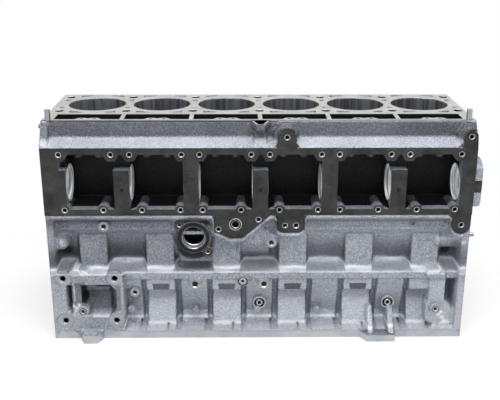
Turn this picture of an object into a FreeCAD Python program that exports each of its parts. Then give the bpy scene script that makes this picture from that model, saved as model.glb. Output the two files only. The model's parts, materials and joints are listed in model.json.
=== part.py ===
import FreeCAD, Part
import math
import os
from FreeCAD import Vector

# Inline six-cylinder diesel block with a high side camshaft, in millimetres.
# Origin: on the crankshaft axis, at the middle main bearing.
# +X runs along the crankshaft to the rear end, -Y is the camshaft side, +Z is up.

# Cylinders and ends
CYLINDERS = 6
BORE_PITCH = 160.0
LINER_BORE_R = 70.2
FRONT_OVERHANG = 102.0
REAR_OVERHANG = 96.0
END_PLATE_T = 15.0

# Deck and pan rail
DECK_Z = 371.0
DECK_FRONT_Y = -176.0
DECK_BACK_Y = 112.0
DECK_LEDGE_T = 22.0
DECK_LEDGE_W = 8.0
PAN_Z = -170.0
RAIL_T = 23.0
RAIL_FRONT_Y = -206.0
RAIL_BACK_Y = 178.0

# Cam-side flange with the three follower windows
FLANGE_Y = -211.0
FLANGE_DROP = 55.0
FLANGE_H = 161.0
SHELF_RISE = 14.0
SHELF_ROUND = 10.0
WINDOW_SILL = 14.0
WINDOW_HEAD = 15.0
WINDOW_END_X = 33.0
WALL_T = 36.0
PILLAR_DROP = 37.0
WEB_T = 24.0
CHEST_BACK_Y = -110.0
CHEST_FRONT_WALL = 55.0
CHEST_REAR_WALL = 34.0
TOP_BOLT_OUT = 139.6
TOP_BOLT_IN = 21.4
TOP_LOBE_DROP = 16.0
TOP_LOBE_HALF = 20.0
TOP_LOBE_TIP = 9.0
LOW_BOLT_OUT = 134.3
LOW_BOLT_IN = 44.8
LOW_LOBE_R = 12.0
LOW_BOLT_SINK = 2.0
TAPPED_R = 5.0
TAPPED_DEPTH = 20.0
TAPPED_SIDES = 10
OIL_HOLE_R = 10.0
EAR_HOLE_R = 6.0

# Camshaft line
CAM_Y = -164.0
CAM_RISE = 66.0
CAM_BORE_R = 42.5
CAM_BOSS_R = 60.0
CAM_BOSS_OUT = 18.0

# Push-rod slots in the deck
SLOT_Y0 = -158.0
SLOT_Y1 = -108.0
SLOT_RIB_T = 10.0
SLOT_END_GAP = 26.0
SLOT_LOBE_OUT = 13.0

# Where the flange reaches down past its lower edge, and the lugs above it
TONGUE_X0 = -107.0
TONGUE_X1 = 25.0
TONGUE_SIDE = 42.0
TONGUE_DEEP = 58.0
TONGUE_FLAT = 35.0
TONGUE_SPLAY = 30.0
EAR_DROP = 27.0
EAR_X0 = 40.0
EAR_X1 = 103.0
EAR_SIDE = 10.0
EAR_DEEP = 18.0
EAR_CHAMFER = 12.0
APRON_T = 56.0
REAR_LUG_IN = 23.0
REAR_LUG_HALF = 22.0
LUG_Z = 30.0
LUG_X = 60.0
LUG_R = 19.0
REAR_LUG_Z = 29.0
REAR_LUG_SIDE = 17.0
REAR_LUG_R = 15.0
LUG_FLARE = 4.0
LUG_ROOT = 14.0

# Side wall under the flange
WALL_TOP_Y = -185.0
WALL_TOP_DROP = 24.0
LIP_DROP = 1.0
VALLEY_Y = -135.0
VALLEY_Z = 7.0
PAD_Y = -175.0
PAD_W = 63.0
PAD_DROP = 59.0
PAD_FLARE = 12.0
BAND_Y = -192.0
BAND_Z1 = 1.0
BAND_Z0 = -16.0

# Crankcase skirt
SKIRT_Y = -140.0
SKIRT_T = 14.0
SKIRT_BACK_Y = 158.0
BULGE_TOP_Y = -152.0
BULGE_LOW_Y = -180.0
BULGE_W = 66.0
EAVE_Y = -186.0
EAVE_Z = -46.0
EAVE_DROP = 19.0
PILASTER_TOP_Y = -186.0
PILASTER_LOW_Y = -152.0
PILASTER_W = 60.0

# Main bearings and their caps
MAIN_R = 60.5
BULKHEAD_T = 36.0
BAY_TOP_Z = 100.0
CAP_HALF_W = 95.0
CAP_DEPTH = 112.0
CAP_EAR_Z = -72.0
CAP_NARROW = 40.0
REGISTER_DEPTH = 12.0
REGISTER_FIT = 0.1
CAP_BOLT_Y = 78.0
CAP_BOLT_AF = 27.0
CAP_BOLT_HEAD_H = 16.0

# Head bolts and coolant passages in the deck
HEAD_BOLT_R = 11.0
HEAD_BOLT_SIDES = 12
HEAD_BOLT_DEPTH = 60.0
HEAD_BOLT_BACK_Y = 79.0
HEAD_BOLT_FRONT_Y = -73.0
HEAD_BOLT_END_GAP = 17.0
PASSAGE_DEPTH = 40.0
GALLERY_FLOOR = 206.0
GALLERY_ROOF = 36.0
GALLERY_W = 16.0
GALLERY_FRONT_Y = -97.0
GALLERY_BACK_Y = 84.0
GALLERY_END = 58.0

# Side mount face and fittings
MOUNT_Y = -206.0
MOUNT_X0 = 29.0
MOUNT_SPAN_X = 124.0
MOUNT_TOP_Z = -9.0
MOUNT_SPAN_Z = 112.0
MOUNT_BOLT_R = 7.0
MOUNT_BOSS_R = 21.0
MOUNT_RIM_FRONT = 28.0
MOUNT_RIM_REAR = 16.0
BOSS_R = 13.0
BOSS_SIDES = 12
BAND_BOSS_DROP = 8.0
BAND_BOSS_SIDE = 4.0
LONG_BOSS_X = 27.0
LONG_BOSS_DROP = 14.0
STUB_X = 32.0
STUB_DROP = 17.0
MOUNT_BOLT_DEPTH = 30.0
POCKET_Y = -154.0
PORT_Y = -205.0
PORT_R = 41.0
PORT_BORE_R = 26.0
PORT_DEPTH = 50.0
PORT_SHIFT = 3.0
PORT_DROP = 59.0
PORT_EAR_X = 33.0
PORT_EAR_UP = 32.0
PORT_EAR_LOW = 36.0
PORT_EAR_R = 12.0
BOSS_FACE_Y = -199.0
BARREL_Y = -146.0
BARREL_R = 45.0
BARREL_X0 = -50.0
BARREL_X1 = 20.0
BARREL_DROP = 15.0
BARREL_OUT = 54.0
BAR_OUT = 42.0
BAR_Z0 = 36.0
BAR_Z1 = 12.0
BAR_CHAMFER = 8.0
BAR_X0 = 72.0
BAR_X1 = 5.0
RIB_T = 10.0

# Dowels and plugs
DECK_DOWEL_R = 6.5
DECK_DOWEL_UP = 25.0
DECK_DOWEL_IN = 10.0
END_DOWEL_R = 5.5
END_DOWEL_OUT = 14.0
END_DOWEL_IN = 12.0
END_DOWEL_INSET = 16.0
END_DOWEL_RISE = 60.0
SMALL_PLUG_R = 5.0
SMALL_PLUG_OUT = 8.0
SMALL_PLUG_IN = 12.0
SMALL_PLUG_INSET = 16.0
CORE_PLUG_R = 26.0
CORE_PLUG_T = 5.0
CORE_PLUG_SINK = 3.0
CORE_PLUG_DROP = 166.0
JACKET_HALF_W = 56.0
JACKET_SWELL = 18.0

# Worked out from the sizes above
REACH = 2.0
CENTRES = [(i - (CYLINDERS - 1) / 2) * BORE_PITCH for i in range(CYLINDERS)]
MAINS = [(i - CYLINDERS / 2) * BORE_PITCH for i in range(CYLINDERS + 1)]
MID = MAINS[CYLINDERS // 2]
FRONT_X = CENTRES[0] - FRONT_OVERHANG
REAR_X = CENTRES[-1] + REAR_OVERHANG
RAIL_TOP = PAN_Z + RAIL_T
FLANGE_Z1 = DECK_Z - FLANGE_DROP
FLANGE_Z0 = FLANGE_Z1 - FLANGE_H
WINDOW_Z0 = FLANGE_Z0 + WINDOW_SILL
WINDOW_Z1 = FLANGE_Z1 - WINDOW_HEAD
PILLAR_TOP_Z = WINDOW_Z1 - PILLAR_DROP
CAM_Z = FLANGE_Z0 + CAM_RISE
PAD_TOP_Z = FLANGE_Z0 - PAD_DROP
GALLERY_Z0 = DECK_Z - GALLERY_FLOOR
GALLERY_Z1 = DECK_Z - GALLERY_ROOF
CORE_PLUG_Z = DECK_Z - CORE_PLUG_DROP
LIP_Z = FLANGE_Z0 - LIP_DROP
WALL_TOP_Z = FLANGE_Z0 - WALL_TOP_DROP
SHELF_Z = FLANGE_Z1 + SHELF_RISE
TOP_BOLT_Z = WINDOW_Z1
LOW_BOLT_Z = WINDOW_Z0 - LOW_BOLT_SINK
BACK_WALL_Y = DECK_BACK_Y - DECK_LEDGE_W
WINDOW_PAIRS = [MAINS[i] for i in range(1, CYLINDERS, 2)]
CHEST_X0 = FRONT_X + CHEST_FRONT_WALL
CHEST_X1 = REAR_X - CHEST_REAR_WALL
MOUNT_BOLTS = [(FRONT_X + MOUNT_X0 + i * MOUNT_SPAN_X, MOUNT_TOP_Z - j * MOUNT_SPAN_Z)
               for i in (0, 1) for j in (0, 1)]
REAR_LUG_X = REAR_X - REAR_LUG_IN
TOP_LUGS = [
    (MID + LUG_X, DECK_Z - LUG_Z, LUG_R),
    (REAR_X - REAR_LUG_SIDE, DECK_Z - REAR_LUG_Z, REAR_LUG_R),
]
PORT_X = MAINS[2] + PORT_SHIFT
PORT_Z = FLANGE_Z0 - PORT_DROP
EAR_Z = FLANGE_Z0 - EAR_DROP


def box(x, y, z):
    """A block between the two values given on each axis."""
    corner = Vector(min(x), min(y), min(z))
    return Part.makeBox(max(x) - min(x), max(y) - min(y), max(z) - min(z), corner)


def place(axis, along, u, v):
    """The point at along on the named axis, with u and v on the other two in their order."""
    return {"x": Vector(along, u, v), "y": Vector(u, along, v), "z": Vector(u, v, along)}[axis]


def rod(axis, at, r, start, end):
    """A round rod along the named axis; at gives the other two coordinates in their order."""
    low = min(start, end)
    return Part.makeCylinder(r, abs(end - start), place(axis, low, *at), place(axis, 1, 0, 0))


def prism(axis, points, start, end):
    """A prism along the named axis; points outline it, and a third value rounds that corner."""
    spots, arcs = [], []
    for i, point in enumerate(points):
        here = Vector(point[0], point[1], 0)
        back = Vector(*points[i - 1][:2], 0) - here
        ahead = Vector(*points[(i + 1) % len(points)][:2], 0) - here
        r = point[2] if len(point) > 2 else 0.0
        half = back.getAngle(ahead) / 2
        back.normalize()
        ahead.normalize()
        enter = here + back * (r / math.tan(half))
        leave = here + ahead * (r / math.tan(half))
        inward = (back + ahead).normalize() if r else back
        spots.append((enter, leave))
        arcs.append(here + inward * (r / math.sin(half) - r) if r else None)

    def at(p):
        return place(axis, start, p.x, p.y)

    edges = []
    for i, (enter, leave) in enumerate(spots):
        if arcs[i]:
            edges.append(Part.Arc(at(enter), at(arcs[i]), at(leave)).toShape())
        following = spots[(i + 1) % len(spots)][0]
        if (following - leave).Length > 1e-6:
            edges.append(Part.LineSegment(at(leave), at(following)).toShape())
    return Part.Face(Part.Wire(edges)).extrude(place(axis, end - start, 0, 0))


def polygon(at, r, sides):
    """The corners of a regular polygon round the point at, r from it."""
    turns = [2 * math.pi * k / sides for k in range(sides)]
    return [(at[0] + r * math.cos(turn), at[1] + r * math.sin(turn)) for turn in turns]


def join(shapes):
    """One shape out of several."""
    return shapes[0].multiFuse(shapes[1:]) if len(shapes) > 1 else shapes[0]


def main_x(i):
    """The middle of bearing bulkhead i; the end ones stand just inside the end faces."""
    return min(max(MAINS[i], FRONT_X + BULKHEAD_T / 2), REAR_X - BULKHEAD_T / 2)


def chest_wall(i):
    """Where cam-chest wall i begins and ends along the crankshaft."""
    if i == 0:
        return FRONT_X, CHEST_X0
    if i == CYLINDERS:
        return CHEST_X1, REAR_X
    return MAINS[i] - WALL_T / 2, MAINS[i] + WALL_T / 2


# ---------------------------------------------------------------- outer body


def trunk():
    """The block's section, drawn round from the pan rail and run from end to end."""
    section = [
        (RAIL_BACK_Y, PAN_Z), (RAIL_FRONT_Y, PAN_Z), (RAIL_FRONT_Y, RAIL_TOP),
        (SKIRT_Y, RAIL_TOP), (SKIRT_Y, BAND_Z0), (BAND_Y, BAND_Z0), (BAND_Y, BAND_Z1),
        (VALLEY_Y, VALLEY_Z), (WALL_TOP_Y, WALL_TOP_Z), (FLANGE_Y, LIP_Z),
        (FLANGE_Y, FLANGE_Z1), (DECK_FRONT_Y, SHELF_Z, SHELF_ROUND), (DECK_FRONT_Y, DECK_Z),
        (DECK_BACK_Y, DECK_Z), (DECK_BACK_Y, DECK_Z - DECK_LEDGE_T),
        (BACK_WALL_Y, DECK_Z - DECK_LEDGE_T - DECK_LEDGE_W), (BACK_WALL_Y, BAY_TOP_Z + 20),
        (SKIRT_BACK_Y, BAY_TOP_Z - 40), (SKIRT_BACK_Y, RAIL_TOP), (RAIL_BACK_Y, RAIL_TOP),
    ]
    return prism("x", section, FRONT_X, REAR_X)


def end_plates():
    """The plates over the full section at each end, which the end housings bolt to."""
    section = [
        (RAIL_BACK_Y, PAN_Z), (RAIL_FRONT_Y, PAN_Z), (RAIL_FRONT_Y, LIP_Z), (FLANGE_Y, LIP_Z),
        (FLANGE_Y, FLANGE_Z1), (DECK_FRONT_Y, DECK_Z), (DECK_BACK_Y, DECK_Z),
        (DECK_BACK_Y + 14, DECK_Z - 60), (DECK_BACK_Y + 14, BAY_TOP_Z + 70), (RAIL_BACK_Y, BAY_TOP_Z - 40),
    ]
    spans = [(FRONT_X, FRONT_X + END_PLATE_T), (REAR_X - END_PLATE_T, REAR_X)]
    return [prism("x", section, start, end) for start, end in spans]


def upper_pads():
    """The flat pads on the side wall, one outside each cylinder, with sloping shoulders."""
    section = [
        (VALLEY_Y, VALLEY_Z - 4), (PAD_Y, VALLEY_Z - 5), (PAD_Y, PAD_TOP_Z),
        (WALL_TOP_Y - 2, WALL_TOP_Z + 4), (VALLEY_Y, WALL_TOP_Z + 4),
    ]
    pads = []
    for c in CENTRES:
        inner, outer = PAD_W / 2, PAD_W / 2 + PAD_FLARE
        plan = [(c - outer, VALLEY_Y), (c - inner, PAD_Y), (c + inner, PAD_Y), (c + outer, VALLEY_Y)]
        upright = prism("z", plan, VALLEY_Z - 6, WALL_TOP_Z + 6)
        pads.append(upright.common(prism("x", section, c - outer, c + outer)))
    return pads


def skirt_bulges():
    """The skirt swells out below each cylinder, under an eave beneath the band."""
    section = [
        (SKIRT_Y, BAND_Z0), (EAVE_Y, BAND_Z0), (EAVE_Y, EAVE_Z), (BULGE_TOP_Y, EAVE_Z - EAVE_DROP),
        (BULGE_LOW_Y, RAIL_TOP + 8), (BULGE_LOW_Y, RAIL_TOP), (SKIRT_Y, RAIL_TOP),
    ]
    return [prism("x", section, c - BULGE_W / 2, c + BULGE_W / 2) for c in CENTRES]


def skirt_pilasters():
    """The skirt's uprights outside the inner main bearings lean in towards the rail."""
    section = [
        (SKIRT_Y, BAND_Z0), (PILASTER_TOP_Y, BAND_Z0), (PILASTER_TOP_Y, BAND_Z0 - 8),
        (PILASTER_LOW_Y, RAIL_TOP + 28), (PILASTER_LOW_Y - 10, RAIL_TOP), (SKIRT_Y, RAIL_TOP),
    ]
    return [prism("x", section, m - PILASTER_W / 2, m + PILASTER_W / 2) for m in MAINS[1:-1]]


def back_side():
    """The far side: a swelling of the water jacket outside each cylinder, ribs at the bearings."""
    shapes = []
    out = BACK_WALL_Y + JACKET_SWELL
    for c in CENTRES:
        plan = [
            (c - JACKET_HALF_W, BACK_WALL_Y - 1), (c - JACKET_HALF_W / 2, out),
            (c + JACKET_HALF_W / 2, out), (c + JACKET_HALF_W, BACK_WALL_Y - 1),
        ]
        shapes.append(prism("z", plan, BAY_TOP_Z + 14, DECK_Z - DECK_LEDGE_T - 10))
    rib = [
        (SKIRT_BACK_Y - 4, RAIL_TOP), (RAIL_BACK_Y - 6, RAIL_TOP), (RAIL_BACK_Y - 12, BAY_TOP_Z - 60),
        (BACK_WALL_Y, BAY_TOP_Z + 50), (BACK_WALL_Y - 4, BAY_TOP_Z + 10), (SKIRT_BACK_Y - 4, BAY_TOP_Z - 50),
    ]
    for m in MAINS[1:-1]:
        shapes.append(prism("x", rib, m - RIB_T / 2, m + RIB_T / 2))
    return shapes


# ---------------------------------------------------------------- cam-side fittings


def flange_aprons():
    """Where the machined flange reaches down past its lower edge."""
    deep, top = FLANGE_Y + APRON_T, LIP_Z + REACH
    x0, x1 = MID + TONGUE_X0, MID + TONGUE_X1
    bottom = FLANGE_Z0 - TONGUE_DEEP
    tongue = [
        (x0, top), (x0, FLANGE_Z0 - TONGUE_SIDE), (x0 + TONGUE_FLAT, bottom),
        (x0 + TONGUE_FLAT + TONGUE_SPLAY, bottom), (x1, top),
    ]
    x0, x1 = MID + EAR_X0, MID + EAR_X1
    side, bottom = EAR_Z - EAR_SIDE, EAR_Z - EAR_DEEP
    ear = [
        (x0, top), (x0, side), (x0 + EAR_CHAMFER, bottom),
        (x1 - EAR_CHAMFER, bottom), (x1, side), (x1, top),
    ]
    shapes = [prism("y", tongue, FLANGE_Y, deep), prism("y", ear, FLANGE_Y, deep)]
    shapes.append(rod("y", (REAR_LUG_X, EAR_Z), REAR_LUG_HALF, FLANGE_Y, deep))
    sides = REAR_LUG_X - REAR_LUG_HALF, REAR_LUG_X + REAR_LUG_HALF
    shapes.append(box(sides, (FLANGE_Y, deep), (EAR_Z, top)))
    return shapes


def lifting_lugs():
    """The two tapped lugs that stand above the flange, each with a thicker root."""
    shapes = []
    inside = DECK_FRONT_Y + LUG_ROOT
    for x, z, r in TOP_LUGS:
        right = min(x + r + LUG_FLARE, REAR_X)
        shapes.append(rod("y", (x, z), r, FLANGE_Y, inside))
        neck = [(x - r - LUG_FLARE, FLANGE_Z1 - 1), (x - r, z), (x + r, z), (right, FLANGE_Z1 - 1)]
        shapes.append(prism("y", neck, FLANGE_Y, inside))
        left, shoulder, top = x - r - 2 * LUG_FLARE, z + r / 3, DECK_Z - REACH
        root = [
            (left, SHELF_Z), (left, shoulder), (x - r / 2, top),
            (x + r / 2, top), (right, shoulder), (right, SHELF_Z),
        ]
        shapes.append(prism("y", root, DECK_FRONT_Y - LUG_ROOT, inside))
    return shapes


def centre_rib():
    """The sloping rib in the middle of the upper wall, under a tongue of the deck."""
    inside = DECK_FRONT_Y + 14
    rib = [
        (inside, FLANGE_Z1 - 2), (FLANGE_Y + 4, FLANGE_Z1 - 2), (FLANGE_Y + 6, FLANGE_Z1 + 6),
        (DECK_FRONT_Y - 6, DECK_Z - 16), (inside, DECK_Z - 16),
    ]
    tongue = [
        (MID - 18, inside), (MID - 18, DECK_FRONT_Y - 4), (MID - 8, FLANGE_Y - 1), (MID + 8, FLANGE_Y - 1),
        (MID + 18, DECK_FRONT_Y - 4), (MID + 18, inside),
    ]
    return [prism("x", rib, MID - 12, MID + 12), prism("z", tongue, DECK_Z - 12, DECK_Z)]


def oil_port_pad():
    """The round machined port low on the side wall, with two ears, on its own pad."""
    left, right = PORT_X - PORT_R - 9, PORT_X + PORT_R + 4
    low = PORT_Z - PORT_R - 20
    pad = [
        (left, LIP_Z), (left, PORT_Z + PORT_BORE_R), (left + 14, PORT_Z - PORT_R),
        (left + 20, low), (right, low), (right, LIP_Z),
    ]
    body = rod("y", (PORT_X, PORT_Z), PORT_R, PORT_Y, VALLEY_Y)
    ears = [
        (PORT_X - PORT_EAR_X, PORT_Z + PORT_EAR_UP),
        (PORT_X + PORT_EAR_X, PORT_Z - PORT_EAR_LOW),
    ]
    shapes = [prism("y", polygon(at, PORT_EAR_R, 6), PORT_Y, VALLEY_Y) for at in ears]
    return shapes + [prism("y", pad, PORT_Y + 7, VALLEY_Y), body]


def wall_bosses():
    """The small bosses of the side wall, a barrel in the wall and a bar at its rear end."""
    deep = SKIRT_Y + REACH
    under_band = BAND_Z0 - BAND_BOSS_DROP
    bosses = [
        (MID + LONG_BOSS_X, PORT_Z - LONG_BOSS_DROP), (FRONT_X + STUB_X, PORT_Z - STUB_DROP),
        (MAINS[2] + BAND_BOSS_SIDE, under_band), (MID + 10, under_band),
    ]
    shapes = [prism("y", polygon(at, BOSS_R, BOSS_SIDES), BOSS_FACE_Y, deep) for at in bosses]
    x = MID + BARREL_X0, MID + BARREL_X1
    barrel = rod("x", (BARREL_Y, PORT_Z - BARREL_DROP), BARREL_R, *x)
    shapes.append(barrel.common(box(x, (BARREL_Y - BARREL_OUT, deep), (0, WALL_TOP_Z))))
    face, low, top = SKIRT_Y - BAR_OUT, PORT_Z - BAR_Z0, PORT_Z - BAR_Z1
    bar = [
        (face, low + BAR_CHAMFER), (face, top - BAR_CHAMFER), (face + BAR_CHAMFER, top),
        (SKIRT_Y, top), (SKIRT_Y, low), (face + BAR_CHAMFER, low),
    ]
    shapes.append(prism("x", bar, REAR_X - BAR_X0, REAR_X - BAR_X1))
    return shapes


def crown_on_band(x0, x1):
    """The outline of a raised head, with cut corners, on the top edge of the band."""
    foot, side, top = BAND_Z1 - 9, BAND_Z1 + 6, BAND_Z1 + 11
    return [(x0, foot), (x0, side), (x0 + 8, top), (x1 - 7, top), (x1, side), (x1, foot)]


def front_mount():
    """The four-bolt mount face at the front end: a frame round a deep pocket with a rib."""
    x0, x1 = FRONT_X + 5, FRONT_X + MOUNT_X0 + MOUNT_SPAN_X + 19
    top, low = MOUNT_TOP_Z - 15, MOUNT_TOP_Z - MOUNT_SPAN_Z + 12
    frame = box((x0, x1), (MOUNT_Y, SKIRT_Y + 6), (PAN_Z, BAND_Z1 - 1))
    corner = MOUNT_BOSS_R - 6
    pocket_x0, pocket_x1 = x0 + MOUNT_RIM_FRONT, x1 - MOUNT_RIM_REAR
    pocket = [
        (pocket_x0, low + corner), (pocket_x0, top - corner / 2),
        (pocket_x0 + corner / 2, top), (pocket_x1 - corner, top),
        (pocket_x1, top - corner), (pocket_x1, low + corner),
        (pocket_x1 - corner, low), (pocket_x0 + corner, low),
    ]
    frame = frame.cut(prism("y", pocket, MOUNT_Y - REACH, POCKET_Y))
    rib = box((x0 + 43, x0 + 64), (MOUNT_Y + 8, SKIRT_Y), (low, BAND_Z1))
    crown = crown_on_band(x0 + 42, x0 + 82)
    swell = [
        (SKIRT_Y, top + 2), (POCKET_Y - 6, top - 20), (POCKET_Y - 22, low - 2), (SKIRT_Y, low - 2),
    ]
    shapes = [frame, rib, prism("y", crown, MOUNT_Y, SKIRT_Y)]
    shapes.append(prism("x", swell, CENTRES[0] - BULGE_W / 2, CENTRES[0] + BULGE_W / 2))
    shapes.append(rod("y", (x0 + 67, low + 18), 15, MOUNT_Y + 4, SKIRT_Y))
    return shapes


def rear_ribs():
    """The ribs, pad and gusset at the rear end of the skirt."""
    x = REAR_X - 66
    rib = box((x - 15, x + 20), (MOUNT_Y + 8, SKIRT_Y), (BAND_Z0 - 84, BAND_Z1))
    crown = crown_on_band(x - 25, x + 15)
    low = BAND_Z0 - 72
    diamond = [
        (x - 22, low + 4), (x, low + 22), (x + 18, low),
        (x + 18, low - 24), (x + 4, low - 50), (x - 20, low - 40),
    ]
    gusset = [(x + 16, low + 18), (x + 34, low + 4), (x + 52, low - 42), (x + 52, PAN_Z), (x + 16, PAN_Z)]
    return [rib, prism("y", crown, MOUNT_Y, SKIRT_Y), prism("y", diamond, MOUNT_Y + 8, SKIRT_Y),
            prism("y", gusset, MOUNT_Y + 10, SKIRT_Y)]


def rail_tabs():
    """Two ears on the pan rail: a plain one at the front, a ribbed one towards the rear."""
    x, y = CENTRES[0] - 10, RAIL_FRONT_Y
    ear = [
        (x - 26, y + 10), (x - 26, y - 8), (x - 17, y - 28),
        (x + 15, y - 28), (x + 26, y - 8), (x + 26, y + 10),
    ]
    shapes = [prism("z", ear, PAN_Z, RAIL_TOP - 2)]
    x = MAINS[5] - 20
    step = [
        (x - 54, y + 10), (x - 54, y), (x - 38, y - 24), (x + 30, y - 24), (x + 34, y), (x + 34, y + 10),
    ]
    shapes.append(prism("z", step, PAN_Z, RAIL_TOP - 6))
    for side in (-1, 1):
        top, foot = BAND_Z0 - 80, RAIL_TOP - 8
        rib = [(SKIRT_Y, foot), (y - 22, foot), (PAD_Y - 6, top), (SKIRT_Y, top)]
        at = x - 4 + side * 25
        shapes.append(prism("x", rib, at - RIB_T / 2, at + RIB_T / 2))
    return shapes


def cam_boss():
    """The round boss on the rear face round the camshaft's rear bearing."""
    boss = rod("x", (CAM_Y, CAM_Z), CAM_BOSS_R, REAR_X - 5, REAR_X + CAM_BOSS_OUT)
    return boss.common(box((REAR_X - 6, REAR_X + CAM_BOSS_OUT), (RAIL_FRONT_Y, 0), (0, DECK_Z)))


# ---------------------------------------------------------------- cavities


def crankcase():
    """The open bays between the bearing bulkheads, and the room for caps and crankshaft."""
    inner_front, inner_back = SKIRT_Y + SKIRT_T, SKIRT_BACK_Y - SKIRT_T
    bay = [
        (inner_front, PAN_Z - REACH), (inner_back, PAN_Z - REACH), (inner_back, BAY_TOP_Z - 60),
        (CAP_HALF_W, BAY_TOP_Z), (-CAP_HALF_W, BAY_TOP_Z), (inner_front + 8, BAY_TOP_Z - 60),
    ]
    slope = CAP_HALF_W + 12
    arch = [
        (inner_front, PAN_Z - REACH), (inner_back, PAN_Z - REACH), (inner_back, CAP_EAR_Z),
        (slope, -REGISTER_DEPTH), (CAP_HALF_W, -REGISTER_DEPTH), (CAP_HALF_W, 0), (-CAP_HALF_W, 0),
        (-CAP_HALF_W, -REGISTER_DEPTH), (-slope, -REGISTER_DEPTH), (inner_front, CAP_EAR_Z),
    ]
    half = (BORE_PITCH - BULKHEAD_T) / 2
    cuts = [prism("x", bay, c - half, c + half) for c in CENTRES]
    cuts.append(prism("x", arch, FRONT_X - REACH, REAR_X + REACH))
    cuts.append(rod("x", (0, 0), MAIN_R, FRONT_X - REACH, REAR_X + REACH))
    return cuts


def cylinder_bores():
    """The liner bores, from the deck down into the crankcase bays."""
    return [rod("z", (c, 0), LINER_BORE_R, BAY_TOP_Z - REACH, DECK_Z + REACH) for c in CENTRES]


def cam_chest():
    """The chambers behind the windows, one for each cylinder, which open up into the deck slots."""
    cuts = []
    end = SLOT_END_GAP - SLOT_RIB_T / 2
    edges = [FRONT_X + end] + MAINS[1:-1] + [REAR_X - end]
    for i, c in enumerate(CENTRES):
        x = chest_wall(i)[1], chest_wall(i + 1)[0]
        cuts.append(box(x, (FLANGE_Y + WEB_T, CHEST_BACK_Y), (WINDOW_Z0, WINDOW_Z1 + 12)))
        x = edges[i] + SLOT_RIB_T / 2, edges[i + 1] - SLOT_RIB_T / 2
        slot = box(x, (SLOT_Y0, SLOT_Y1), (WINDOW_Z1 + 4, DECK_Z + REACH))
        tip = SLOT_Y0 + SLOT_LOBE_OUT
        lobes = [
            (c - 29, SLOT_Y0), (c - 20, tip), (c - 6, tip), (c + 2, tip - 5),
            (c + 10, tip), (c + 24, tip), (c + 34, SLOT_Y0),
        ]
        cuts.append(slot.cut(prism("z", lobes, WINDOW_Z1, DECK_Z + REACH)))
    return cuts


def flange_bolts():
    """Where the follower housings' bolts go: one row over the windows and one under them."""
    top = [(m + side * x, TOP_BOLT_Z) for m in WINDOW_PAIRS for x in (TOP_BOLT_OUT, TOP_BOLT_IN)
           for side in (-1, 1)]
    low = [(m + side * x, LOW_BOLT_Z) for m in WINDOW_PAIRS for x in (LOW_BOLT_OUT, LOW_BOLT_IN)
           for side in (-1, 1)]
    return top, low


def windows():
    """The three follower windows through the flange, less the bolt lobes and short pillars."""
    keep = [box((FRONT_X, CHEST_X0), (FLANGE_Y, CHEST_BACK_Y), (0, PILLAR_TOP_Z))]
    for m in WINDOW_PAIRS:
        keep.append(box((m - WALL_T / 2, m + WALL_T / 2), (FLANGE_Y, CHEST_BACK_Y), (0, PILLAR_TOP_Z)))
    top, low = flange_bolts()
    for x, z in top:
        tip = z - TOP_LOBE_DROP
        tooth = [(x - TOP_LOBE_HALF, z + 1), (x - TOP_LOBE_TIP, tip), (x + TOP_LOBE_TIP, tip),
                 (x + TOP_LOBE_HALF, z + 1)]
        keep.append(prism("y", tooth, FLANGE_Y, CHEST_BACK_Y))
    for x, z in low:
        r = LOW_LOBE_R
        crown = [(x - r, z), (x - r, z + 6), (x - 5, z + r), (x + 5, z + r), (x + r, z + 6), (x + r, z)]
        keep.append(prism("y", crown, FLANGE_Y, CHEST_BACK_Y))
    solid = join(keep)
    cuts = []
    for m in WINDOW_PAIRS:
        reach = BORE_PITCH - WALL_T / 2
        x = max(m - reach, FRONT_X + WINDOW_END_X), min(m + reach, CHEST_X1)
        opening = box(x, (FLANGE_Y - REACH, FLANGE_Y + WEB_T + REACH), (WINDOW_Z0, WINDOW_Z1))
        cuts.append(opening.cut(solid))
    return cuts


def head_bolt_holes():
    """The two rows of head-bolt holes: round about the third cylinder, of a few flat sides elsewhere."""
    cuts = []
    depth = DECK_Z - HEAD_BOLT_DEPTH, DECK_Z + REACH
    for m in MAINS:
        x = min(max(m, FRONT_X + HEAD_BOLT_END_GAP), REAR_X - HEAD_BOLT_END_GAP)
        for y in (HEAD_BOLT_BACK_Y, HEAD_BOLT_FRONT_Y):
            if m in MAINS[2:4]:
                cuts.append(rod("z", (x, y), HEAD_BOLT_R, *depth))
            else:
                cuts.append(prism("z", polygon((x, y), HEAD_BOLT_R, HEAD_BOLT_SIDES), *depth))
    return cuts


def coolant_passages():
    """The coolant's way up through the deck, between and around the bores."""
    cuts = []
    for m in MAINS:
        x = min(max(m, FRONT_X + HEAD_BOLT_END_GAP), REAR_X - HEAD_BOLT_END_GAP)
        for y, half in ((43, 8), (-38, 6)):
            depth = DECK_Z - PASSAGE_DEPTH, DECK_Z + REACH
            cuts.append(box((x - 6, x + 6), (y - half, y + half), depth))
    slots = [(-1, -1, 22), (1, -1, 30), (-1, 1, 22), (1, 1, 22)]
    for c in CENTRES:
        for side, row, near in slots:
            outer = 91 if row < 0 else 102
            slot = [(c + side * 55, row * (outer - 20)), (c + side * 55, row * outer),
                    (c + side * near, row * outer), (c + side * (near + 2), row * (outer - 8))]
            cuts.append(prism("z", slot, GALLERY_Z1 - REACH, DECK_Z + REACH))
    length = CENTRES[0] - GALLERY_END, CENTRES[-1] + GALLERY_END
    for y in (GALLERY_FRONT_Y, GALLERY_BACK_Y):
        cuts.append(box(length, (y, y + GALLERY_W), (GALLERY_Z0, GALLERY_Z1)))
    return cuts


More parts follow.
